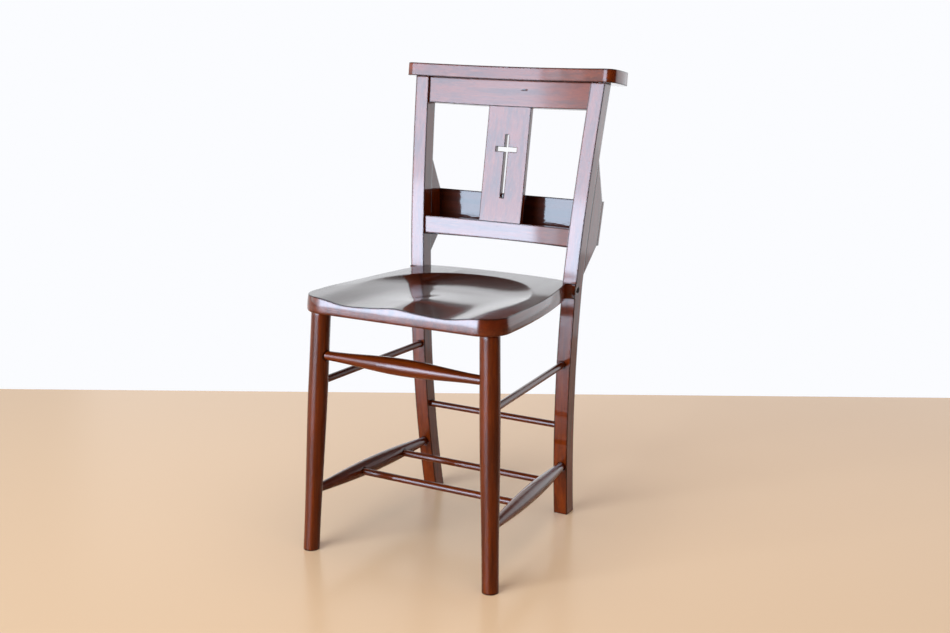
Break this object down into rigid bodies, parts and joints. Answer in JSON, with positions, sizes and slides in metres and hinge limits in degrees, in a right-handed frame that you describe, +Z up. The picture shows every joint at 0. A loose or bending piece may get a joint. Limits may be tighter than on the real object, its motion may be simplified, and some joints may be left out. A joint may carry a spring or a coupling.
{
  "type": "choir chair",
  "caption": "Wooden chapel chair with a saddled seat, turned legs and stretchers, a splat with a cut-out cross and an open book box behind the back",
  "frame": {"origin": "on the floor, below the middle of the chair's outline", "axes": "+X to the right of someone who faces the chair, +Y from its front to its back, +Z up"},
  "size_m": [0.417, 0.4746, 0.8162],
  "materials": {
    "lacquered_wood": "gloss lacquer over dark red-brown stained hardwood",
    "seat_wood": "gloss lacquer over dark red-brown stained hardwood",
    "bare_wood": "bare, inside the joints",
    "steel": "zinc-plated",
    "plug": "satin black"
  },
  "bodies": {
    "root": {"seat": "seat_wood", "front_leg_left": "lacquered_wood", "front_leg_right": "lacquered_wood", "rear_post_left": "lacquered_wood", "rear_post_right": "lacquered_wood", "top_cap": "lacquered_wood", "crest_rail": "lacquered_wood", "splat": "lacquered_wood", "lower_back_rail": "lacquered_wood", "box_side_left": "lacquered_wood", "box_side_right": "lacquered_wood", "box_back_panel": "lacquered_wood", "box_floor": "lacquered_wood", "front_stretcher": "lacquered_wood", "upper_side_stretcher_left": "lacquered_wood", "upper_side_stretcher_right": "lacquered_wood", "lower_side_stretcher_left": "lacquered_wood", "lower_side_stretcher_right": "lacquered_wood", "cross_stretcher_front": "lacquered_wood", "cross_stretcher_rear": "lacquered_wood", "rear_stretcher": "lacquered_wood", "seat_screws": "steel", "seat_screw_plugs": "plug", "cap_dowels": "bare_wood", "box_dowels": "bare_wood"}
  },
  "joints": []
}
